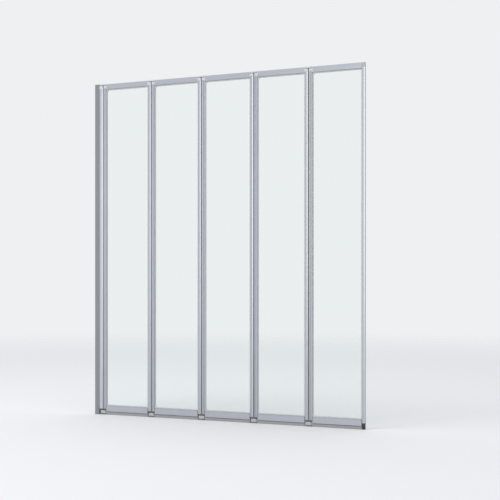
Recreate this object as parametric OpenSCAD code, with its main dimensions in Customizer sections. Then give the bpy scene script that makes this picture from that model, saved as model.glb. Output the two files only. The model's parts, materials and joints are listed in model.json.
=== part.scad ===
// Folding bath screen: clear panes in slim hollow aluminium frames, joined by double-pivot hinges.
// X runs from the wall along the screen, Y goes into the bath, and Z stands up from the bath rim.
// The origin is on the wall face, at rim level, in the middle of the screen's thickness.

/* [Overall] */
// Height from the bath rim to the top of the hinge links
screen_h = 1400; // [900:10:1800]
// Distance from the centre of one hinge to the centre of the next
panel_pitch = 229; // [140:1:300]
// Number of panels
panel_count = 5; // [2:1:5]

/* [Stiles] */
// Radius of the round nose that faces the next panel
nose_r = 7; // [6.5:0.25:9]
// Gap between two noses
nose_gap = 1.5; // [1.2:0.1:2.5]
// Length of nose past the pivot, up to the step down to the flat lip
nose_over = 0.8; // [0.4:0.1:1.2]
// Height of the step from the nose down to the flat lip
lip_step = 1; // [0.8:0.1:1.4]
// Gap between a link's round end and the end of a rail
link_reveal = 0.5; // [0.4:0.1:1.5]
// Wall thickness of the hollow frame profiles
profile_wall = 1.4; // [1.1:0.1:1.5]
// Bevel along the glass side of a stile
stile_bevel = 0.6; // [0.3:0.1:0.8]

/* [Rails] */
// Height of a top rail
top_rail_h = 22; // [18:1:40]
// Height of a bottom rail
bottom_rail_h = 25; // [22:1:45]
// Radius along the outer edges of a rail
rail_round = 2; // [1:0.5:2.5]
// How far the top rails lie below the top of the links
rail_drop = 2; // [1:0.5:5]
// Width of the slot that holds the bottom seal
seal_slot_w = 4.4; // [3:0.2:6]
// Height of the slot that holds the bottom seal
seal_slot_h = 5; // [4:0.5:6]

/* [Glazing] */
// Thickness of a pane
glass_t = 3; // [3:0.5:4]
// Gasket thickness beside the pane, in the mouth of the glazing channel
gasket_side = 1.1; // [0.8:0.1:1.4]
// Gasket thickness round the pane's edge
gasket_edge = 1.1; // [0.6:0.1:1.2]
// How far the gasket shows past the frame
gasket_bead = 4; // [2:0.25:5]
// Radius of the gasket's inner corners
gasket_corner_r = 8; // [4:1:14]

/* [Hinge links] */
// Thickness of a top link plate
link_plate_h = 6; // [5:0.5:9]
// Height of a bottom link block
link_block_h = 12; // [9:0.5:15]
// Radius of the ends of a bottom link block
link_block_r = 5; // [4.5:0.25:6.5]
// Bevel round a link's upper edge
link_bevel = 0.8; // [0.4:0.1:1.2]
// Height of the soft pad under a bottom link block
foot_pad_h = 5; // [3:0.5:7]
// Gap between a link and the lug that it turns on
lug_gap = 3; // [2:0.5:5]
// Radius of the boss that fills the gap round a pin
boss_r = 4; // [3.5:0.25:4.5]
// Radius of a hinge pin
pin_r = 2.5; // [2:0.25:2.75]
// Plastic left over each end of a pin
pin_cover = 1; // [0.6:0.1:1.5]

/* [Corner pieces] */
// Height of a top lug, between the stile and the gap under the link
top_lug_h = 10; // [6:0.5:14]
// Height of a bottom lug
bottom_lug_h = 4; // [3:0.5:8]
// Thickness of the plate that closes a rail's end
end_plate_t = 1.5; // [1:0.1:3]
// Length of the plug in a stile
stile_plug_len = 26; // [12:1:60]
// Length of the plug in a rail
rail_plug_len = 26; // [12:1:45]
// Wall thickness of the plug in a rail
plug_wall = 1.6; // [1.2:0.1:2.2]

/* [Bottom seal] */
// Height of the bottom seal below a rail
bottom_seal_h = 12; // [9:0.5:16]
// Gap that shows between a rail and the bottom seal's flange
seal_reveal = 2; // [1:0.1:3]
// Half width of the bottom seal
bottom_seal_half_w = 5.25; // [4.5:0.25:6]
// How far the bottom seal's skirts lean in towards the rim
skirt_lean = 1; // [0.4:0.1:1.6]
// Thickness of the bottom seal's skirts and fin
skirt_t = 1.4; // [1:0.1:1.8]
// Distance from a stile to the end of the bottom seal
seal_end_gap = 0.3; // [0.3:0.1:2]
// How far the foot under the free edge is set in from the end stile's outline
foot_inset = 1.2; // [0.5:0.1:3]

/* [Wall side] */
// Distance from the wall to the first pivot
wall_to_pivot = 29.75; // [29.75:0.25:45]
// Gap between the wall profile and the first link's round end
wall_reveal = 3.25; // [1:0.25:4]
// Thickness of the wall profile's back web
wall_web_t = 2; // [1.6:0.1:3]
// Thickness of the wall profile's sides
wall_side_t = 1.5; // [1.2:0.1:1.7]
// Length of the narrower heel of the wall profile
wall_heel_l = 5; // [4:0.5:5.5]
// How much the heel is set in on each side
wall_heel_step = 0.6; // [0.3:0.1:0.8]
// Width of the square groove, set on its edge, that marks the drill line on the wall profile's sides
drill_line_w = 0.56; // [0.3:0.02:0.8]
// Space between the wall face and the tail of the wall stile
tail_gap = 6; // [6:0.5:9]
// Radius of the holes for the wall screws
wall_hole_r = 2.75; // [2:0.25:3.5]
// Distance between the holes for the wall screws
wall_hole_pitch = 400; // [150:10:420]
// Number of holes for the wall screws
wall_hole_count = 4; // [2:1:4]
// Thickness of the wall profile's top cap
wall_cap_t = 2; // [1.5:0.5:3]
// Length of the top cap's plug
wall_cap_plug = 5; // [3:0.5:6]
// Number of clamp screws
clamp_count = 3; // [2:1:3]
// Distance between the clamp screws
clamp_pitch = 450; // [120:10:450]
// Distance from the front of the wall profile to the clamp screws
clamp_inset = 7; // [6:0.5:8]
// Radius of a clamp screw's shank
clamp_r = 1.75; // [1.5:0.25:2]
// Radius of a clamp screw's countersunk head
clamp_head_r = 3.3; // [2.8:0.1:3.6]
// Length of a clamp screw
clamp_len = 8; // [6:0.5:10]

/* [Clearances] */
// Radial running clearance of a pin in its lug
pin_clear = 0.05; // [0.03:0.01:0.1]
// Radial clearance of a pin or screw in the piece that grips it
grip_clear = 0.02; // [0.01:0.01:0.03]
// Clearance between a boss and the link above or below it
play = 0.3; // [0.2:0.05:0.5]
// Clearance of the hinge seal to noses and lips
strip_clear = 0.3; // [0.25:0.05:0.4]
// Clearance of plugs, gaskets, heads and seals in their seats
fit = 0.1; // [0.05:0.05:0.2]
// Clearance between the wall stile and the wall profile, on each side
slide_clear = 0.2; // [0.1:0.05:0.3]
// Room between the gasket and the floor of the glazing channel
channel_clear = 0.25; // [0.1:0.05:0.5]

/* [Hidden] */
smooth = 96;
small_smooth = 48;
// Overshoot of a cut past the face that it opens
past = 1;

// Sections
lip_y = nose_r - lip_step;
frame_depth = 2 * lip_y;
pivot_spacing = 2 * nose_r + nose_gap;
stile_inner = nose_r + link_reveal;
inner_half = lip_y - profile_wall;
slot_depth = stile_inner - profile_wall;
slot_half = glass_t / 2 + gasket_side + fit;
// How far the gasket and the pane's edge go into the frame
gasket_bite = slot_depth - channel_clear;
glass_bite = gasket_bite - gasket_edge;
seal_head_half = inner_half - profile_wall;
// Skin between a bottom rail's hollow and the rim: the seal slot and a wall above it
slot_skin = seal_slot_h + profile_wall;
strip_r = nose_r + strip_clear;
// The seal strip is as deep as the lips let it turn by
strip_half_depth = sqrt(strip_r ^ 2 - (lip_y + strip_clear) ^ 2);

// Levels, from the rim up
block_top = foot_pad_h + link_block_h;
bottom_lug_z = block_top + lug_gap;
stile_z = bottom_lug_z + bottom_lug_h;
plate_z = screen_h - link_plate_h;
top_lug_top = plate_z - lug_gap;
stile_top = top_lug_top - top_lug_h;
opening_z = bottom_seal_h + bottom_rail_h;
rail_top = screen_h - rail_drop;
opening_top = rail_top - top_rail_h;
pane_z = opening_z - glass_bite;
pane_top = opening_top + glass_bite;
// The corner pieces leave room for the pane and its gasket up to these levels
pocket_z = opening_z - gasket_bite - fit;
pocket_top = opening_top + gasket_bite + fit;
// Blind ends of the pin holes, clear of the stiles' ends and of the room for the pane
low_hole_end = min(stile_z, pocket_z) - pin_cover;
top_hole_end = max(stile_top, pocket_top) + pin_cover;

// Wall side
wall_profile_w = wall_to_pivot - nose_r - wall_reveal;
wall_inner_half = lip_y + slide_clear;
wall_outer_half = wall_inner_half + wall_side_t;
tail_l = wall_to_pivot - tail_gap;
// The tail has two hollows of one length between three walls
tail_box_l = (tail_l - 3 * profile_wall) / 2;
clamp_x = wall_profile_w - clamp_inset;

aluminium_colour = [0.76, 0.77, 0.79];
plastic_colour = [0.7, 0.71, 0.73];
steel_colour = [0.6, 0.6, 0.62];
gasket_colour = [0.62, 0.63, 0.64];
seal_colour = [0.5, 0.51, 0.53];
glass_colour = [0.85, 0.93, 0.95, 0.3];

function hinge_pivot(k) = wall_to_pivot + (k - 1) * panel_pitch;
function left_pivot(k) = hinge_pivot(k) + pivot_spacing;
function right_pivot(k) = hinge_pivot(k + 1);
function panel_node(k, piece) = str("panel_", k, "_", piece);
function hinge_node(k, piece) = str("hinge_", k, "_", piece);
function spread(i, count, pitch) = screen_h / 2 + (i - (count + 1) / 2) * pitch;

// ---------- placing ----------

// Children are drawn round a left stile's pivot, with the glass towards +X
module at_left(k) {
    translate([left_pivot(k), 0, 0]) children();
}

module at_right(k) {
    translate([right_pivot(k), 0, 0]) mirror([1, 0, 0]) children();
}

// An outline whose 2D X and Y are the screen's Y and Z, run along X
module run_along_x(from, to) {
    translate([from, 0, 0]) rotate([90, 0, 90]) linear_extrude(to - from) children();
}

// An outline whose 2D X and Y are the screen's X and Z, with its thickness centred on the screen
module flat_in_screen(thickness) {
    rotate([90, 0, 0]) linear_extrude(thickness, center = true) children();
}

module run_up(from, to) {
    translate([0, 0, from]) linear_extrude(to - from) children();
}

// ---------- stiles ----------

// A disc cut off a little past its centre, towards +X
module nose(radius, over) {
    intersection() {
        circle(r = radius, $fn = smooth);
        translate([-radius - past, -radius - past]) square([radius + past + over, 2 * (radius + past)]);
    }
}

// Outer shape of a stile: round nose, step, flat lips with bevelled edges
module stile_outline() {
    nose(nose_r, nose_over);
    polygon([
        [0, -lip_y], [stile_inner - stile_bevel, -lip_y], [stile_inner, stile_bevel - lip_y],
        [stile_inner, lip_y - stile_bevel], [stile_inner - stile_bevel, lip_y], [0, lip_y]
    ]);
}

// The hollow behind the nose; with a gap, the plug that goes into it
module nose_hollow(gap) {
    nose(nose_r - profile_wall - gap, -gap);
}

// Channel for pane and gasket, with its mouth at the origin and its floor towards -X
module glazing_channel() {
    translate([-slot_depth, -inner_half]) square([slot_depth - profile_wall, 2 * inner_half]);
    translate([-slot_depth, -slot_half]) square([slot_depth + past, 2 * slot_half]);
}

module stile_profile() {
    difference() {
        stile_outline();
        nose_hollow(0);
        translate([stile_inner, 0]) glazing_channel();
    }
}

module left_stile(k) {
    color(aluminium_colour) at_left(k) run_up(stile_z, stile_top) stile_profile();
}

module right_stile(k) {
    color(aluminium_colour) at_right(k) run_up(stile_z, stile_top) stile_profile();
}

// ---------- rails ----------

// Outer shape of a rail, with the glass side at the origin and round edges at its outer side
module rail_outline(height) {
    translate([-lip_y, 0]) square([frame_depth, height - rail_round]);
    translate([rail_round - lip_y, 0]) square([frame_depth - 2 * rail_round, height]);
    for (side = [-1, 1])
        translate([side * (lip_y - rail_round), height - rail_round])
            circle(r = rail_round, $fn = small_smooth);
}

// The hollow beyond the glazing channel; with a gap, the plug that goes into it
module rail_hollow(height, outer_skin, gap) {
    low = slot_depth + profile_wall + gap;
    high = height - outer_skin - gap;
    translate([gap - inner_half, low]) square([2 * (inner_half - gap), high - low]);
}

module rail_profile(height, outer_skin) {
    difference() {
        rail_outline(height);
        rotate(-90) glazing_channel();
        rail_hollow(height, outer_skin, 0);
    }
}

// T-shaped slot for the bottom seal, at the outer side of a rail; with a gap, the seal's part in it.
// Its neck reaches past the rail by the given reach.
module seal_slot(height, gap, reach) {
    head_h = seal_slot_h - profile_wall - 2 * gap;
    translate([gap - seal_slot_w / 2, height - seal_slot_h + gap])
        square([seal_slot_w - 2 * gap, seal_slot_h - gap + reach]);
    translate([gap - seal_head_half, height - seal_slot_h + gap])
        square([2 * (seal_head_half - gap), head_h]);
}

module place_top_rail() {
    translate([0, opening_top]) children();
}

module place_bottom_rail() {
    translate([0, opening_z]) mirror([0, 1]) children();
}

module top_rail(k) {
    color(aluminium_colour)
        run_along_x(left_pivot(k) + stile_inner + end_plate_t, right_pivot(k) - stile_inner - end_plate_t)
            place_top_rail() rail_profile(top_rail_h, profile_wall);
}

module bottom_rail(k) {
    color(aluminium_colour)
        run_along_x(left_pivot(k) + stile_inner + end_plate_t, right_pivot(k) - stile_inner - end_plate_t)
            place_bottom_rail() difference() {
                rail_profile(bottom_rail_h, slot_skin);
                seal_slot(bottom_rail_h, 0, past);
            }
}

// ---------- glazing ----------

module rectangle(x0, z0, x1, z1) {
    translate([x0, z0]) square([x1 - x0, z1 - z0]);
}

module round_rectangle(x0, z0, x1, z1, r) {
    rectangle(x0 + r, z0, x1 - r, z1);
    rectangle(x0, z0 + r, x1, z1 - r);
    for (x = [x0 + r, x1 - r]) for (z = [z0 + r, z1 - r]) translate([x, z]) circle(r = r, $fn = small_smooth);
}

// The pane, grown by edge_gap round its edge and side_gap on each face
module pane_space(k, edge_gap, side_gap) {
    reach = stile_inner - glass_bite - edge_gap;
    flat_in_screen(glass_t + 2 * side_gap)
        rectangle(left_pivot(k) + reach, pane_z - edge_gap, right_pivot(k) - reach, pane_top + edge_gap);
}

module glass(k) {
    color(glass_colour) pane_space(k, 0, 0);
}

// A soft frame: its tongue fills the channel's mouth and shows a bead, its heels fill the channel
module gasket(k) {
    x0 = left_pivot(k) + stile_inner;
    x1 = right_pivot(k) - stile_inner;
    heel = profile_wall + fit;
    rail_x0 = x0 + end_plate_t + fit;
    rail_x1 = x1 - end_plate_t - fit;
    color(gasket_colour) difference() {
        union() {
            flat_in_screen(glass_t + 2 * gasket_side) difference() {
                rectangle(x0 - gasket_bite, opening_z - gasket_bite,
                          x1 + gasket_bite, opening_top + gasket_bite);
                round_rectangle(x0 + gasket_bead, opening_z + gasket_bead, x1 - gasket_bead,
                                opening_top - gasket_bead, gasket_corner_r);
            }
            flat_in_screen(2 * (inner_half - fit)) {
                rectangle(x0 - gasket_bite, opening_z, x0 - heel, opening_top);
                rectangle(x1 + heel, opening_z, x1 + gasket_bite, opening_top);
                rectangle(rail_x0, opening_z - gasket_bite, rail_x1, opening_z - heel);
                rectangle(rail_x0, opening_top + heel, rail_x1, opening_top + gasket_bite);
            }
        }
        pane_space(k, 0, 0);
    }
}

// ---------- corner pieces ----------

// Boss and hole for a hinge pin: the boss stands on the lug at level lug_z and points towards the link
module boss(lug_z, direction) {
    low = direction > 0 ? lug_z : lug_z - lug_gap + play;
    translate([0, 0, low]) cylinder(r = boss_r, h = lug_gap - play, $fn = smooth);
}

module pin_hole(from, to) {
    translate([0, 0, from]) cylinder(r = pin_r + pin_clear, h = to - from, $fn = smooth);
}

// Plug for a rail's end, open towards the middle of the rail: first child its outline, second its bore
module rail_plug() {
    start = stile_inner + end_plate_t;
    difference() {
        run_along_x(start, start + rail_plug_len) children(0);
        run_along_x(start + plug_wall, start + rail_plug_len + past) children(1);
    }
}

// Room for the pane and its gasket in a corner piece, from its own pivot
module corner_glass_space() {
    translate([stile_inner - slot_depth, -slot_half, pocket_z])
        cube([slot_depth + end_plate_t + past, 2 * slot_half, pocket_top - pocket_z]);
}

module top_corner(hinged) {
    lug_end = hinged ? top_lug_top : rail_top;
    difference() {
        union() {
            run_up(stile_top, lug_end) stile_outline();
            run_up(stile_top - stile_plug_len, stile_top) nose_hollow(fit);
            run_along_x(stile_inner, stile_inner + end_plate_t) place_top_rail() rail_outline(top_rail_h);
            rail_plug() {
                place_top_rail() rail_hollow(top_rail_h, profile_wall, fit);
                place_top_rail() rail_hollow(top_rail_h, profile_wall, fit + plug_wall);
            }
            if (hinged) boss(top_lug_top, 1);
        }
        corner_glass_space();
        if (hinged) pin_hole(top_hole_end, plate_z);
    }
}

module bottom_corner(hinged) {
    difference() {
        union() {
            run_up(bottom_lug_z, stile_z) stile_outline();
            run_up(stile_z, stile_z + stile_plug_len) nose_hollow(fit);
            run_along_x(stile_inner, stile_inner + end_plate_t) place_bottom_rail() difference() {
                rail_outline(bottom_rail_h);
                seal_slot(bottom_rail_h, 0, past);
            }
            rail_plug() {
                place_bottom_rail() rail_hollow(bottom_rail_h, slot_skin, fit);
                place_bottom_rail() rail_hollow(bottom_rail_h, slot_skin, fit + plug_wall);
            }
            if (hinged) boss(bottom_lug_z, -1);
        }
        corner_glass_space();
        if (hinged) pin_hole(block_top, low_hole_end);
    }
}

module corner_pieces(k) {
    color(plastic_colour) {
        at_left(k) {
            top_corner(true);
            bottom_corner(true);
        }
        at_right(k) {
            top_corner(k < panel_count);
            bottom_corner(k < panel_count);
        }
    }
}

// ---------- bottom seal ----------

// Flange under the rail, two leaning skirts that reach the rim, and a fin between them
module skirts() {
    flange_top = bottom_seal_h - seal_reveal;
    flange_z = flange_top - skirt_t;
    inner = bottom_seal_half_w - skirt_t;
    difference() {
        polygon([
            [-bottom_seal_half_w, flange_top], [bottom_seal_half_w, flange_top],
            [bottom_seal_half_w, flange_z], [bottom_seal_half_w - skirt_lean, 0],
            [skirt_lean - bottom_seal_half_w, 0], [-bottom_seal_half_w, flange_z]
        ]);
        for (side = [-1, 1]) polygon([
            [side * skirt_t / 2, flange_z], [side * inner, flange_z], [side * (inner - skirt_lean), 0],
            [side * (inner - skirt_lean), -past], [side * skirt_t / 2, -past]
        ]);
    }
}

// The soft foot under the free edge, set in from the end stile's outline
module foot_outline() {
    half_y = lip_y - foot_inset;
    nose(nose_r - foot_inset, 0);
    translate([0, -half_y]) square([stile_inner - foot_inset, 2 * half_y]);
}

module bottom_seal(k) {
    x0 = left_pivot(k) + stile_inner + seal_end_gap;
    x1 = right_pivot(k) - stile_inner - seal_end_gap;
    color(seal_colour) union() {
        run_along_x(x0, x1) skirts();
        run_along_x(x0, x1) place_bottom_rail()
            seal_slot(bottom_rail_h, fit, seal_reveal + skirt_t / 2);
        if (k == panel_count) at_right(k) run_up(0, bottom_lug_z) foot_outline();
    }
}

// ---------- hinges ----------

// A bar with round ends on two pivots, bevelled round its upper edge
module link_bar(radius, height, bevel) {
    for (x = [0, pivot_spacing]) translate([x, 0, 0]) rotate_extrude($fn = smooth) polygon([
        [0, 0], [radius, 0], [radius, height - bevel], [radius - bevel, height], [0, height]
    ]);
    run_along_x(0, pivot_spacing) polygon([
        [-radius, 0], [radius, 0], [radius, height - bevel], [radius - bevel, height],
        [bevel - radius, height], [-radius, height - bevel]
    ]);
}

module on_both_pivots() {
    for (x = [0, pivot_spacing]) translate([x, 0, 0]) children();
}

module links(k) {
    seat_r = pin_r + grip_clear;
    color(plastic_colour) translate([hinge_pivot(k), 0, 0]) {
        difference() {
            translate([0, 0, plate_z]) link_bar(nose_r, link_plate_h, link_bevel);
            on_both_pivots() translate([0, 0, plate_z - past])
                cylinder(r = seat_r, h = link_plate_h - pin_cover + past, $fn = smooth);
        }
        difference() {
            translate([0, 0, foot_pad_h]) link_bar(link_block_r, link_block_h, link_bevel);
            on_both_pivots() translate([0, 0, foot_pad_h + pin_cover])
                cylinder(r = seat_r, h = link_block_h, $fn = smooth);
        }
    }
}

module pins(k) {
    top_pin_z = top_hole_end + play;
    top_pin_end = screen_h - pin_cover;
    low_pin_z = foot_pad_h + pin_cover;
    low_pin_end = low_hole_end - play;
    color(steel_colour) translate([hinge_pivot(k), 0, 0]) on_both_pivots() {
        translate([0, 0, top_pin_z]) cylinder(r = pin_r, h = top_pin_end - top_pin_z, $fn = smooth);
        translate([0, 0, low_pin_z]) cylinder(r = pin_r, h = low_pin_end - low_pin_z, $fn = smooth);
    }
}

// Hourglass strip between the noses, and the pad that closes the gap between the block and the rim
module seals(k) {
    color(seal_colour) translate([hinge_pivot(k), 0, 0]) {
        run_up(block_top, plate_z) difference() {
            translate([pivot_spacing / 2 - nose_gap, -strip_half_depth])
                square([2 * nose_gap, 2 * strip_half_depth]);
            for (x = [0, pivot_spacing]) translate([x, 0]) circle(r = strip_r, $fn = smooth);
        }
        link_bar(nose_r, foot_pad_h, link_bevel);
    }
}

// ---------- wall side ----------

module at_wall_pivot() {
    translate([wall_to_pivot, 0, 0]) children();
}

module wall_profile_outline() {
    heel_half = wall_outer_half - wall_heel_step;
    difference() {
        union() {
            translate([0, -heel_half]) square([wall_profile_w, 2 * heel_half]);
            translate([wall_heel_l, -wall_outer_half])
                square([wall_profile_w - wall_heel_l, 2 * wall_outer_half]);
        }
        for (side = [-1, 1]) translate([clamp_x, side * wall_outer_half]) rotate(45)
            square(drill_line_w, center = true);
    }
}

// The channel that the wall stile slides in; with a gap, the plug that goes into it
module wall_channel(gap) {
    heel_half = wall_inner_half - wall_heel_step - gap;
    front_half = wall_inner_half - gap;
    translate([wall_web_t + gap, -heel_half]) square([wall_profile_w, 2 * heel_half]);
    translate([wall_heel_l + gap, -front_half]) square([wall_profile_w, 2 * front_half]);
}

// Children are drawn at the origin, with +Z out of the bath side of the wall profile
module at_clamp_screws() {
    for (i = [1:clamp_count])
        translate([clamp_x, wall_outer_half, spread(i, clamp_count, clamp_pitch)])
            rotate([-90, 0, 0]) children();
}

module wall_profile() {
    hole_r = clamp_r + 2 * fit;
    color(aluminium_colour) difference() {
        run_up(0, screen_h - wall_cap_t) difference() {
            wall_profile_outline();
            wall_channel(0);
        }
        for (i = [1:wall_hole_count])
            translate([-past, 0, spread(i, wall_hole_count, wall_hole_pitch)]) rotate([0, 90, 0])
                cylinder(r = wall_hole_r, h = wall_web_t + 2 * past, $fn = smooth);
        at_clamp_screws() {
            translate([0, 0, -wall_side_t])
                cylinder(r1 = hole_r, r2 = clamp_head_r + 2 * fit, h = wall_side_t, $fn = smooth);
            translate([0, 0, -wall_side_t - past]) cylinder(r = hole_r, h = 2 * past, $fn = smooth);
        }
    }
}

// A cap on the wall profile's top end, and a block that fills the channel under the wall stile
module wall_profile_caps() {
    color(plastic_colour) {
        run_up(screen_h - wall_cap_t, screen_h) wall_profile_outline();
        run_up(screen_h - wall_cap_t - wall_cap_plug, screen_h - wall_cap_t) wall_plug_outline();
        run_up(0, bottom_lug_z - fit) wall_plug_outline();
    }
}

module wall_plug_outline() {
    intersection() {
        wall_channel(fit);
        wall_profile_outline();
    }
}

// Round nose towards the first hinge, and a box-shaped tail that slides in the wall profile
module wall_stile_outline() {
    mirror([1, 0]) nose(nose_r, nose_over);
    translate([-tail_l, -lip_y]) square([tail_l, frame_depth]);
}

module wall_stile_hollows(gap) {
    mirror([1, 0]) nose_hollow(gap);
    translate([gap - tail_box_l - profile_wall, gap - inner_half])
        square([tail_box_l - 2 * gap, 2 * (inner_half - gap)]);
}

module wall_stile() {
    color(aluminium_colour) difference() {
        at_wall_pivot() run_up(stile_z, stile_top) difference() {
            wall_stile_outline();
            wall_stile_hollows(0);
            translate([profile_wall - tail_l, -inner_half]) square([tail_box_l, 2 * inner_half]);
        }
        at_clamp_screws() translate([0, 0, -clamp_len])
            cylinder(r = clamp_r + grip_clear, h = clamp_len, $fn = smooth);
    }
}

module wall_stile_caps() {
    color(plastic_colour) at_wall_pivot() {
        difference() {
            union() {
                run_up(stile_top, top_lug_top) wall_stile_outline();
                run_up(stile_top - stile_plug_len, stile_top) wall_stile_hollows(fit);
                boss(top_lug_top, 1);
            }
            pin_hole(top_hole_end, plate_z);
        }
        difference() {
            union() {
                run_up(bottom_lug_z, stile_z) wall_stile_outline();
                run_up(stile_z, stile_z + stile_plug_len) wall_stile_hollows(fit);
                boss(bottom_lug_z, -1);
            }
            pin_hole(block_top, low_hole_end);
        }
    }
}

// Countersunk screws with a cross recess, sunk just below the wall profile's face
module clamp_screws() {
    recess_w = clamp_r / 2;
    recess_depth = wall_side_t / 2;
    color(steel_colour) at_clamp_screws() translate([0, 0, -fit]) difference() {
        union() {
            translate([0, 0, -wall_side_t])
                cylinder(r1 = clamp_r, r2 = clamp_head_r, h = wall_side_t, $fn = smooth);
            translate([0, 0, -clamp_len]) cylinder(r = clamp_r, h = clamp_len - wall_side_t, $fn = smooth);
        }
        for (turn = [0, 90]) rotate(turn) translate([-clamp_r, -recess_w / 2, -recess_depth])
            cube([2 * clamp_r, recess_w, recess_depth + past]);
    }
}

// ---------- nodes ----------

wall_profile();
wall_profile_caps();
wall_stile();
wall_stile_caps();
clamp_screws();

for (k = [1:panel_count]) {
    links(k);
    pins(k);
    seals(k);
    left_stile(k);
    right_stile(k);
    top_rail(k);
    bottom_rail(k);
    glass(k);
    gasket(k);
    corner_pieces(k);
    bottom_seal(k);
}
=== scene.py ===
import json
import math

import bpy
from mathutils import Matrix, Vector

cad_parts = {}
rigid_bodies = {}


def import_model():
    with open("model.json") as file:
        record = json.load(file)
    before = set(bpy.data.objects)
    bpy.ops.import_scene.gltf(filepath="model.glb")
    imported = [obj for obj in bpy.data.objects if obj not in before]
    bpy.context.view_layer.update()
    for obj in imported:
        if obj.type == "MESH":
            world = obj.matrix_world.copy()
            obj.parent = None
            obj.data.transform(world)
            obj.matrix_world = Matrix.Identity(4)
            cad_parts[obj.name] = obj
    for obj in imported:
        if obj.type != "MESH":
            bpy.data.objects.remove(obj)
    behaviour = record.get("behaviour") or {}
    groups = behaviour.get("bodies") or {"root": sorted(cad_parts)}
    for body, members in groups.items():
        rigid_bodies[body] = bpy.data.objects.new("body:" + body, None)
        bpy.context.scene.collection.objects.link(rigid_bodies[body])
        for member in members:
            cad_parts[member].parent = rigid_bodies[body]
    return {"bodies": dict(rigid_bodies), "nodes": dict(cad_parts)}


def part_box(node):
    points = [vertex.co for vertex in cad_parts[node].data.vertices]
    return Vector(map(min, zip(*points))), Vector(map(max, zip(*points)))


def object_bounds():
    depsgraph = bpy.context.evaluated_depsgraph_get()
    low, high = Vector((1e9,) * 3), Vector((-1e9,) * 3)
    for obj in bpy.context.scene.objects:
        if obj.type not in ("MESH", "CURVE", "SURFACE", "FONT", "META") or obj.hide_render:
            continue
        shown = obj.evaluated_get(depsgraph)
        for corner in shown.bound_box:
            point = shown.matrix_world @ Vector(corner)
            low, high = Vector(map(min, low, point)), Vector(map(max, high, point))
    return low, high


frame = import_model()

# Gives the pieces of a folding bath screen their materials, and sets the screen in a plain pale studio.
# Lengths are in metres. X runs from the wall along the open screen, its front faces -Y, and Z is up.

cad_box = [list(corner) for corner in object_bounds()]
nodes = frame["nodes"]
scene = bpy.context.scene

# The middle of the open screen, to the nearest centimetre
MIDDLE = Vector([round((low + high) / 2, 2) for low, high in zip(*cad_box)])
LAST_PANEL = max(body for body in frame["bodies"] if body.startswith("panel_"))

# ---------- camera ----------

# Fitted to the photo: the rails' vanishing lines give the yaw and the horizon, the joints the distance
CAMERA_PLACE = (2.1435, -3.587, 0.569)
CAMERA_YAW = math.radians(21.8)
LENS = 69.75
SENSOR = 36.0
# The camera looks level, and its horizon lies below the middle of the picture
CAMERA_SHIFT = (-0.001, 0.06)
CLIP_START, CLIP_END = 0.05, 60.0


def make_camera():
    data = bpy.data.cameras.new("camera")
    data.lens = LENS
    data.sensor_width = SENSOR
    data.shift_x, data.shift_y = CAMERA_SHIFT
    data.clip_start = CLIP_START
    data.clip_end = CLIP_END
    camera = bpy.data.objects.new("camera", data)
    scene.collection.objects.link(camera)
    camera.location = CAMERA_PLACE
    camera.rotation_euler = (math.radians(90), 0.0, CAMERA_YAW)
    scene.camera = camera


# ---------- node helpers ----------

# Nearly all of a noise lies between these values
NOISE_LOW, NOISE_HIGH = 0.3, 0.7
# Ambient occlusion in a tight corner and on an open face
AO_TIGHT, AO_OPEN = 0.5, 0.9
# Sockets of a Mix node that mixes colours
MIX_FACTOR, MIX_FIRST, MIX_SECOND, MIX_RESULT = 0, 6, 7, 2
# Width of the step where a tone changes at a place of the frame
STEP_WIDTH = 0.0002


def even(value):
    return (value, value, value)


def opaque(colour):
    return (*colour, 1.0)


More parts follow.
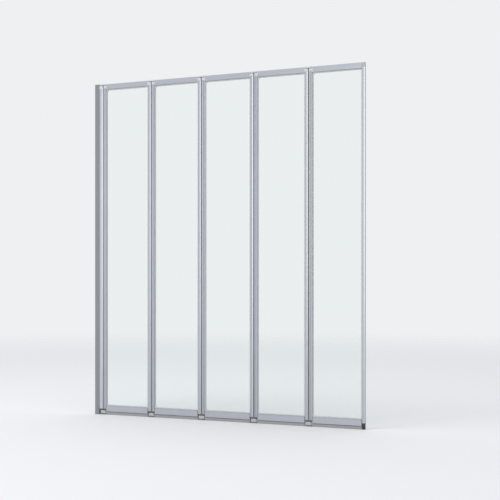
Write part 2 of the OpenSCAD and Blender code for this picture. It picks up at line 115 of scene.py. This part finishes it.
class Graph:
    """The node tree of a material or a world, with short calls to add and join nodes."""

    def __init__(self, owner, output):
        self.owner = owner
        owner.use_nodes = True
        self.tree = owner.node_tree
        self.tree.nodes.clear()
        self.output = self.add(output)

    def add(self, kind, **settings):
        node = self.tree.nodes.new(kind)
        for name, value in settings.items():
            setattr(node, name, value)
        return node

    def feed(self, value, socket):
        """Joins another node's socket to this one, or sets it to a plain value."""
        if isinstance(value, bpy.types.NodeSocket):
            self.tree.links.new(value, socket)
        else:
            socket.default_value = value

    def shader(self, kind, **sockets):
        node = self.add(kind)
        for name, value in sockets.items():
            self.feed(value, node.inputs[name.replace("_", " ")])
        return node

    def principled(self, **sockets):
        return self.shader("ShaderNodeBsdfPrincipled", **sockets)

    def place(self, stretch=even(1.0)):
        """Object coordinates, in metres, multiplied by stretch along X, Y and Z."""
        coordinates = self.add("ShaderNodeTexCoord")
        mapping = self.add("ShaderNodeMapping")
        mapping.inputs["Scale"].default_value = stretch
        self.feed(coordinates.outputs["Object"], mapping.inputs["Vector"])
        return mapping.outputs["Vector"]

    def noise(self, stretch, detail=2.0):
        """Noise with about stretch features in a metre along X, Y and Z."""
        texture = self.add("ShaderNodeTexNoise")
        texture.inputs["Scale"].default_value = 1.0
        texture.inputs["Detail"].default_value = detail
        self.feed(self.place(stretch), texture.inputs["Vector"])
        return texture.outputs["Fac"]

    def tones(self, value, dark, light, start=NOISE_LOW, end=NOISE_HIGH):
        """Runs from a dark to a light colour as value goes from start to end."""
        node = self.add("ShaderNodeValToRGB")
        first, last = node.color_ramp.elements
        first.position, first.color = start, opaque(dark)
        last.position, last.color = end, opaque(light)
        self.feed(value, node.inputs["Fac"])
        return node.outputs["Color"]

    def remap(self, value, low, high, start=NOISE_LOW, end=NOISE_HIGH, curve="LINEAR"):
        """Runs from low to high as value goes from start to end."""
        node = self.add("ShaderNodeMapRange", interpolation_type=curve)
        limits = {"From Min": start, "From Max": end, "To Min": low, "To Max": high}
        for name, limit in limits.items():
            node.inputs[name].default_value = limit
        self.feed(value, node.inputs["Value"])
        return node.outputs["Result"]

    def past(self, axis, place):
        """0 up to a place along X or Z of the frame, and 1 past it."""
        along = self.add("ShaderNodeSeparateXYZ")
        self.feed(self.place(), along.inputs[0])
        return self.remap(along.outputs[axis], low=0.0, high=1.0, start=place, end=place + STEP_WIDTH)

    def larger(self, first, second):
        node = self.add("ShaderNodeMath", operation="MAXIMUM")
        self.feed(first, node.inputs[0])
        self.feed(second, node.inputs[1])
        return node.outputs[0]

    def blend(self, factor, first, second, kind="MIX"):
        """Mixes two colours."""
        node = self.add("ShaderNodeMix", data_type="RGBA", blend_type=kind)
        for value, socket in ((factor, MIX_FACTOR), (first, MIX_FIRST), (second, MIX_SECOND)):
            self.feed(value, node.inputs[socket])
        return node.outputs[MIX_RESULT]

    def multiply(self, tone, shade, factor=1.0):
        """Multiplies a colour by a shade, to the share that factor says."""
        return self.blend(factor, tone, opaque(shade), kind="MULTIPLY")

    def mix(self, factor, first, second):
        """Mixes two shaders."""
        node = self.add("ShaderNodeMixShader")
        for value, socket in zip((factor, first.outputs[0], second.outputs[0]), node.inputs):
            self.feed(value, socket)
        return node

    def bump(self, height, depth, below):
        """The normal of a relief, depth metres high, on top of the normal below."""
        node = self.add("ShaderNodeBump")
        node.inputs["Distance"].default_value = depth
        self.feed(height, node.inputs["Height"])
        self.feed(below, node.inputs["Normal"])
        return node.outputs["Normal"]

    def soft_edges(self, radius):
        """The normal of the surface, with its edges rounded."""
        node = self.add("ShaderNodeBevel", samples=4)
        node.inputs["Radius"].default_value = radius
        return node.outputs["Normal"]

    def corners(self, reach, tight, open_face):
        """Runs from tight in corners, where other faces stand within reach, to open_face."""
        node = self.add("ShaderNodeAmbientOcclusion", samples=6)
        node.inputs["Distance"].default_value = reach
        return self.remap(node.outputs["AO"], tight, open_face, start=AO_TIGHT, end=AO_OPEN)

    def finish(self, shader):
        self.feed(shader.outputs[0], self.output.inputs["Surface"])
        return self.owner


def material_graph(name):
    return Graph(bpy.data.materials.new(name), "ShaderNodeOutputMaterial")


# ---------- materials ----------

# Axes along which pieces are drawn, as X and Z stand in a vector
LEVEL, UPRIGHT = 0, 2

# Pairs of a dark and a light tone, between which each finish varies
ALUMINIUM_BANDS = ((0.476, 0.495, 0.534), (0.511, 0.53, 0.568))
ALUMINIUM_CLOUD = ((0.48, 0.499, 0.538), (0.516, 0.534, 0.572))
ALUMINIUM_LINES = ((0.432, 0.449, 0.484), (0.552, 0.571, 0.608))
MOULDED_TONES = ((0.62, 0.625, 0.64), (0.68, 0.685, 0.7))
STEEL_TONES = ((0.52, 0.52, 0.53), (0.62, 0.62, 0.63))
GASKET_TONES = ((0.73, 0.735, 0.745), (0.79, 0.795, 0.805))
BOTTOM_SEAL_TONES = ((0.32, 0.323, 0.331), (0.39, 0.393, 0.402))
SEAL_STRIP_TONES = ((0.165, 0.167, 0.171), (0.215, 0.217, 0.222))

# Painted shade: ambient occlusion darkens the aluminium's colour by this much in the tight joints between
# pieces
PAINTED_JOINT_SHADE = (0.42, 0.42, 0.44)
# Painted shade in the corner in which a gasket's bead meets the frame, and the tone of the foot under the
# free edge
PAINTED_SEAM_SHADE = (0.09, 0.09, 0.095)
FOOT_TONE = (0.03, 0.03, 0.033)

# Tints of what is seen through a pane and of the light that shines through it
GLASS_TINT = (0.955, 0.985, 0.975)
GLASS_SHADOW = (0.94, 0.96, 0.955)

# Painted light and shade: the rails are a lit, bluer copy and the wall stile a lit copy, and the wall
# profile a shaded copy, of the other stiles' aluminium
RAIL_PAINTED_LIGHT = (1.04, 1.045, 1.065)
WALL_PROFILE_PAINTED_SHADE = even(0.63)
WALL_STILE_PAINTED_LIGHT = even(1.14)

# Painted shade on the plastic at the foot of the stiles and on the hinges' lower blocks, and the darker
# tone of the free edge's caps, against the plastic at the top of the stiles
LUG_FOOT_PAINTED_SHADE = 0.175
LINK_FOOT_PAINTED_SHADE = 0.8
CAP_SHADE = 0.72

# Pieces of one node differ in tone on the two sides of these places, and none of them lies across one
pane_low, pane_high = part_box(f"{LAST_PANEL}_glass")
FOOT_END = (pane_low.z + pane_high.z) / 2
CAP_START = (pane_low.x + pane_high.x) / 2
# The last panel's bottom seal ends before its end stile starts, and the foot stands under that stile
FOOT_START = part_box(f"{LAST_PANEL}_right_stile")[0].x

# Features in a metre: the drag lines of the seals, the marks of the gaskets, which run round their panes,
# and the slow waves of the panes
DRAG_LINES = {"across": 1400.0, "along": 3.0}
GASKET_MARKS = (700.0, 700.0, 30.0)
ROLLER_WAVES = (1.5, 1.5, 9.0)

# Share of a slow cloud and of the die lines in the tone of aluminium, and of the mottle in that of PVC
CLOUD_SHARE = 0.35
LINE_SHARE = 0.3
MOTTLE_SHARE = 0.4


def drawn(across, along, axis):
    """Features in a metre, across and along the axis of a drawn piece."""
    stretch = [across] * 3
    stretch[axis] = along
    return stretch


def aluminium(name, axis, shade=even(1.0)):
    """Satin anodised extrusion along an axis: die lines, slow bands, a faint cloud and a fine etch. A
    shade above 1 paints light into its colour and one below 1 paints shade, and tight joints get painted
    shade.
    """
    graph = material_graph(name)
    die_lines = graph.noise(drawn(across=2600.0, along=2.5, axis=axis), detail=3.0)
    bands = graph.noise(drawn(across=260.0, along=1.2, axis=axis))
    cloud = graph.noise(even(9.0), detail=3.0)
    etch = graph.noise(even(5200.0), detail=1.0)
    line_tone = graph.tones(die_lines, *ALUMINIUM_LINES, start=0.35, end=0.65)
    tone = graph.tones(bands, *ALUMINIUM_BANDS)
    tone = graph.blend(CLOUD_SHARE, tone, graph.tones(cloud, *ALUMINIUM_CLOUD))
    tone = graph.blend(LINE_SHARE, tone, line_tone)
    # Painted light and shade: a lit or shaded copy of the aluminium, as the piece's shade says
    tone = graph.multiply(tone, shade)
    # Painted shade: the colour is darkened where other faces stand close, in the tight joints between
    # pieces
    tone = graph.multiply(tone, PAINTED_JOINT_SHADE, graph.corners(reach=0.003, tight=1.0, open_face=0.0))
    normal = graph.bump(die_lines, depth=0.00002, below=graph.soft_edges(radius=0.0003))
    normal = graph.bump(etch, depth=0.00001, below=normal)
    roughness = graph.remap(bands, low=0.31, high=0.38)
    return graph.finish(graph.principled(
        Metallic=1.0, Base_Color=tone, Roughness=roughness, Normal=normal))


def moulded_plastic(name, foot_painted_shade):
    """Silver grey plastic with a fine spark-eroded grain. It is darker on the free edge's caps, and
    painted shade darkens it below the panes' middle height.
    """
    graph = material_graph(name)
    grain = graph.noise(even(1900.0))
    cloud = graph.noise(even(60.0))
    tone = graph.tones(cloud, *MOULDED_TONES)
    tone = graph.blend(graph.past("X", CAP_START), tone, graph.multiply(tone, even(CAP_SHADE)))
    # Painted shade: the plastic is darker below the panes' middle height, at the foot
    tone = graph.blend(graph.past("Z", FOOT_END), graph.multiply(tone, even(foot_painted_shade)), tone)
    return graph.finish(graph.principled(
        Base_Color=tone, IOR=1.5, Roughness=graph.remap(grain, low=0.38, high=0.5),
        Normal=graph.bump(grain, depth=0.00003, below=graph.soft_edges(radius=0.0004))))


def steel():
    """Bright ground steel, with fine marks round each pin."""
    graph = material_graph("bright_steel")
    marks = graph.noise(drawn(across=300.0, along=9000.0, axis=UPRIGHT))
    tone = graph.tones(marks, *STEEL_TONES)
    return graph.finish(graph.principled(
        Metallic=1.0, Base_Color=tone, Roughness=graph.remap(marks, low=0.2, high=0.3),
        Normal=graph.bump(marks, depth=0.00001, below=graph.soft_edges(radius=0.0002))))


def paint_seam_shade(graph, tone):
    """Paints shade into the corner in which a bead meets the frame, where ambient occlusion finds other
    faces close.
    """
    return graph.blend(graph.corners(reach=0.0022, tight=0.0, open_face=1.0), opaque(PAINTED_SEAM_SHADE), tone)


def dark_foot(graph, tone):
    """Nearly black on the foot under the free edge."""
    return graph.blend(graph.past("X", FOOT_START), tone, opaque(FOOT_TONE))


def soft_plastic(name, dark, light, stretch, change=None):
    """Soft PVC with drag lines, a faint mottle and a dusty sheen. The function change alters its tone."""
    graph = material_graph(name)
    drag = graph.noise(stretch, detail=3.0)
    mottle = graph.noise(even(130.0), detail=3.0)
    tone = graph.blend(MOTTLE_SHARE, graph.tones(drag, dark, light), graph.tones(mottle, dark, light))
    if change:
        tone = change(graph, tone)
    return graph.finish(graph.principled(
        Base_Color=tone, IOR=1.45, Sheen_Weight=0.15, Sheen_Roughness=0.6,
        Roughness=graph.remap(mottle, low=0.5, high=0.62),
        Normal=graph.bump(drag, depth=0.00004, below=graph.soft_edges(radius=0.0003))))


def clear_glass():
    """Clear tempered glass, faintly green, with slow waves from the rollers. Light shines through it."""
    graph = material_graph("clear_glass")
    waves = graph.noise(ROLLER_WAVES, detail=1.0)
    surface = graph.add("ShaderNodeNewGeometry").outputs["Normal"]
    pane = graph.principled(
        Base_Color=opaque(GLASS_TINT), Transmission_Weight=1.0, IOR=1.5, Roughness=0.0,
        Normal=graph.bump(waves, depth=0.00006, below=surface))
    shadow = graph.shader("ShaderNodeBsdfTransparent", Color=opaque(GLASS_SHADOW))
    shadow_ray = graph.add("ShaderNodeLightPath").outputs["Is Shadow Ray"]
    return graph.finish(graph.mix(shadow_ray, pane, shadow))


def dress():
    """Gives every piece of the frame its material. The first ending that fits its name counts."""
    lugs = moulded_plastic("lug_plastic", LUG_FOOT_PAINTED_SHADE)
    metal = steel()
    finishes = {
        # The wall profile gets painted shade, and the wall stile and the rails painted light
        "wall_profile": aluminium("satin_aluminium_wall_profile_painted_shade", UPRIGHT, WALL_PROFILE_PAINTED_SHADE),
        "wall_stile": aluminium("satin_aluminium_wall_stile_painted_light", UPRIGHT, WALL_STILE_PAINTED_LIGHT),
        "stile": aluminium("satin_aluminium_upright", UPRIGHT),
        "rail": aluminium("satin_aluminium_level_painted_light", LEVEL, RAIL_PAINTED_LIGHT),
        "glass": clear_glass(),
        # The gasket's bead gets painted shade where it meets the frame
        "gasket": soft_plastic("gasket_pvc", *GASKET_TONES, GASKET_MARKS, paint_seam_shade),
        "corner_pieces": lugs,
        "caps": lugs,
        "links": moulded_plastic("link_plastic", LINK_FOOT_PAINTED_SHADE),
        "pins": metal,
        "screws": metal,
        "bottom_seal": soft_plastic("bottom_seal_pvc", *BOTTOM_SEAL_TONES,
                                    drawn(**DRAG_LINES, axis=LEVEL), dark_foot),
        "seals": soft_plastic("seal_strip_pvc", *SEAL_STRIP_TONES, drawn(**DRAG_LINES, axis=UPRIGHT)),
    }
    for name, node in nodes.items():
        kind = next(end for end in finishes if name.endswith(end))
        node.data.materials.clear()
        node.data.materials.append(finishes[kind])


# ---------- studio ----------

BACKGROUND = (0.86, 0.87, 0.885)
FLOOR_COLOUR = (0.84, 0.847, 0.86)
# The floor lies this far under the object's lowest face
FLOOR_DROP = 0.0005
FLOOR_RADIUS = 9.0
FLOOR_SIDES = 96
# The floor melts into the background between these distances from its middle
FLOOR_FADE = (2.4, 7.0)

# Strength of the world's light on matt faces
AMBIENT = 0.95

# A lamp's turn is in degrees, from the screen's front towards its free end.
# The key lamp stands high, and lights the floor and the panes too.
KEY_LAMP = {"turn": -32, "distance": 2.6, "height": 4.8, "width": 1.8, "tallness": 1.8, "power": 80.0}

# The gleams only show as highlights on the frames. Each has its own turn, width and power.
GLEAM_DISTANCE = 3.5
GLEAM_HEIGHT = 1.4
GLEAM_TALLNESS = 2.4
GLEAMS = {
    "front_gleam": (19, 1.4, 20.0),
    "free_end_gleam": (52, 2.2, 17.0),
    "wall_end_gleam": (-72, 1.8, 14.0),
}


def floor_material():
    """A pale matt floor that keeps shadows, and fades out far from the object."""
    graph = material_graph("floor")
    distance = graph.add("ShaderNodeVectorMath", operation="LENGTH")
    graph.feed(graph.place(), distance.inputs[0])
    fade_start, fade_end = FLOOR_FADE
    gone = graph.remap(distance.outputs["Value"], low=0.0, high=1.0, start=fade_start, end=fade_end,
                       curve="SMOOTHSTEP")
    matt = graph.principled(Base_Color=opaque(FLOOR_COLOUR), Roughness=0.9, Specular_IOR_Level=0.1)
    return graph.finish(graph.mix(gone, matt, graph.shader("ShaderNodeBsdfTransparent")))


def make_floor():
    turns = [2 * math.pi * i / FLOOR_SIDES for i in range(FLOOR_SIDES)]
    ring = [(FLOOR_RADIUS * math.cos(turn), FLOOR_RADIUS * math.sin(turn), 0.0) for turn in turns]
    mesh = bpy.data.meshes.new("floor")
    mesh.from_pydata(ring, [], [tuple(range(FLOOR_SIDES))])
    mesh.materials.append(floor_material())
    floor = bpy.data.objects.new("floor", mesh)
    scene.collection.objects.link(floor)
    floor.location = (MIDDLE.x, MIDDLE.y, -FLOOR_DROP)


def make_world():
    """Even light on matt faces. The camera, mirrors and glass see a plain pale background."""
    scene.world = bpy.data.worlds.new("studio")
    graph = Graph(scene.world, "ShaderNodeOutputWorld")
    colour = opaque(BACKGROUND)
    even_light = graph.shader("ShaderNodeBackground", Color=colour, Strength=AMBIENT)
    plain = graph.shader("ShaderNodeBackground", Color=colour)
    path = graph.add("ShaderNodeLightPath").outputs
    seen = graph.larger(path["Is Camera Ray"], path["Is Glossy Ray"])
    seen = graph.larger(seen, path["Is Transmission Ray"])
    graph.finish(graph.mix(seen, even_light, plain))


def make_soft_box(name, turn, distance, height, width, tallness, power):
    """A soft box aimed at the middle of the screen. It isn't seen itself, not even through glass."""
    data = bpy.data.lights.new(name, "AREA")
    data.shape = "RECTANGLE"
    data.size = width
    data.size_y = tallness
    data.energy = power
    lamp = bpy.data.objects.new(name, data)
    scene.collection.objects.link(lamp)
    angle = math.radians(turn)
    lamp.location.x = MIDDLE.x + distance * math.sin(angle)
    lamp.location.y = MIDDLE.y - distance * math.cos(angle)
    lamp.location.z = height
    lamp.rotation_euler = (MIDDLE - lamp.location).to_track_quat("-Z", "Y").to_euler()
    lamp.visible_camera = False
    lamp.visible_transmission = False
    return lamp


def make_key_lamp():
    lamp = make_soft_box("key", **KEY_LAMP)
    lamp.visible_glossy = False


def make_gleams():
    """Soft boxes that add highlights to the frames, and light no matt face, no floor and no pane."""
    frames = bpy.data.collections.new("lit_by_gleams")
    for name, node in nodes.items():
        if not name.endswith("glass"):
            frames.objects.link(node)
    for name, (turn, width, power) in GLEAMS.items():
        lamp = make_soft_box(name, turn, GLEAM_DISTANCE, GLEAM_HEIGHT, width, GLEAM_TALLNESS, power)
        lamp.visible_diffuse = False
        lamp.light_linking.receiver_collection = frames


make_camera()
dress()
make_floor()
make_world()
make_key_lamp()
make_gleams()

scene.view_settings.view_transform = "Standard"
